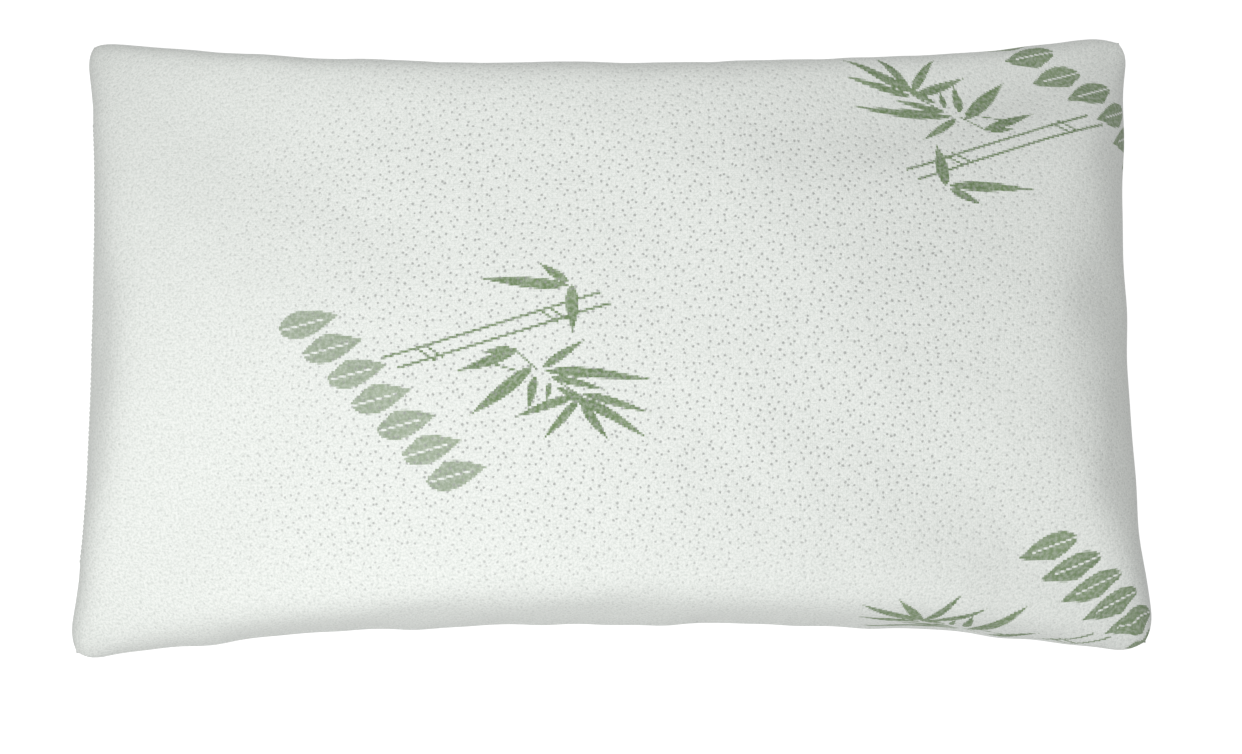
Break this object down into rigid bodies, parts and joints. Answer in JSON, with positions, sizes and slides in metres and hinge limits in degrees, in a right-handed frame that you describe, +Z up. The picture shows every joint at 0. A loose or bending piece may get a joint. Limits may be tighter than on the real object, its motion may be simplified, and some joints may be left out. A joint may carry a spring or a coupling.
{
  "type": "bed pillow",
  "caption": "Rectangular bed pillow: foam crumb in a woven liner, inside a knitted cover with a zip along one short end.",
  "frame": {"origin": "middle of the underside, on the surface that the pillow lies on", "axes": "+X along the pillow, away from the zip end; +Y across it; +Z up through its thickness"},
  "size_m": [0.695, 0.418, 0.148],
  "materials": {
    "cover_knit": "matte",
    "zip_tape": "matte",
    "zip_nylon": "satin",
    "zip_metal": "satin",
    "thread": "satin",
    "liner_cloth": "matte",
    "label_cloth": "satin",
    "foam": "matte"
  },
  "bodies": {
    "cover": {"cover_top": "cover_knit", "cover_bottom": "cover_knit", "cover_seam_thread": "thread", "zip_tape_upper": "zip_tape", "zip_tape_lower": "zip_tape", "zip_coil_upper": "zip_nylon", "zip_coil_lower": "zip_nylon", "zip_thread_upper": "thread", "zip_thread_lower": "thread", "zip_top_stops": "zip_metal", "zip_bottom_stop": "zip_metal", "liner_top": "liner_cloth", "liner_bottom": "liner_cloth", "liner_seam_thread": "thread", "liner_label": "label_cloth", "foam_fill": "foam"},
    "slider": {"zip_slider": "zip_metal"},
    "pull": {"zip_pull": "zip_metal"}
  },
  "joints": [
    {"name": "zip_slide", "type": "slide", "parent": "cover", "child": "slider", "axis": [0, -1, 0], "range_m": [0, 0.263]},
    {"name": "pull_swing", "type": "hinge", "parent": "slider", "child": "pull", "pos_m": [-0.33705, 0.141, 0.066], "axis": [0, 0, -1], "range_deg": [0, 160]}
  ]
}
